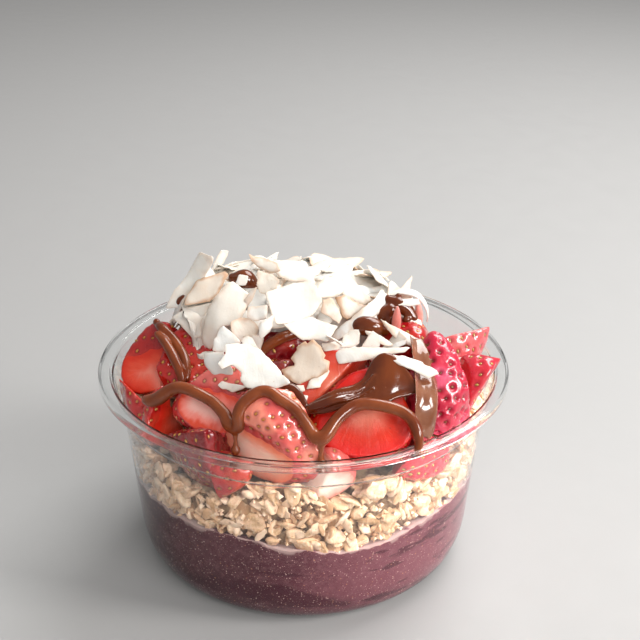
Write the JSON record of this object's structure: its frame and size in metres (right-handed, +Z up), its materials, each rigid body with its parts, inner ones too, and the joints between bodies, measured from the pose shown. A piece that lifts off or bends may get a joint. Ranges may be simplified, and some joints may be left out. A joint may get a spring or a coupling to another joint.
{
  "type": "acai bowl",
  "caption": "Clear round plastic bowl filled with layers of acai puree and rolled-oat granola, topped with cut strawberries, coconut chips and chocolate sauce.",
  "frame": {"origin": "centre of the bowl's foot, on the surface it stands on", "axes": "+Z up along the bowl's axis; -Y is the side with the zigzag sauce strand; +X to its right"},
  "size_m": [0.15, 0.15, 0.1054],
  "materials": {
    "clear_plastic": "gloss",
    "acai": "matte",
    "granola": "matte",
    "strawberry": "gloss",
    "chocolate_sauce": "gloss",
    "coconut": "matte"
  },
  "bodies": {
    "root": {"acai": "acai", "bowl": "clear_plastic", "coconut_chip_1": "coconut", "coconut_chip_2": "coconut", "coconut_chip_3": "coconut", "coconut_chip_4": "coconut", "coconut_chip_5": "coconut", "coconut_heap": "coconut", "granola": "granola", "sauce_dollop": "chocolate_sauce", "sauce_front": "chocolate_sauce", "sauce_hole": "chocolate_sauce", "sauce_left": "chocolate_sauce", "sauce_mid": "chocolate_sauce", "sauce_right": "chocolate_sauce", "strawberry_back_left": "strawberry", "strawberry_back_left_side": "strawberry", "strawberry_back_mid": "strawberry", "strawberry_back_mid_right": "strawberry", "strawberry_back_right": "strawberry", "strawberry_front_left_low": "strawberry", "strawberry_front_left_top": "strawberry", "strawberry_front_low_left": "strawberry", "strawberry_front_low_mid": "strawberry", "strawberry_front_mid": "strawberry", "strawberry_front_right": "strawberry", "strawberry_inner_back": "strawberry", "strawberry_inner_back_left": "strawberry", "strawberry_inner_back_right": "strawberry", "strawberry_left_front_low": "strawberry", "strawberry_left_inner": "strawberry", "strawberry_left_low": "strawberry", "strawberry_left_wedge": "strawberry", "strawberry_mid_dark": "strawberry", "strawberry_mid_front": "strawberry", "strawberry_mid_right": "strawberry", "strawberry_mid_right_cut": "strawberry", "strawberry_right_edge": "strawberry", "strawberry_right_low": "strawberry", "strawberry_right_point": "strawberry", "strawberry_right_tall": "strawberry", "strawberry_under_flakes": "strawberry"}
  },
  "joints": []
}
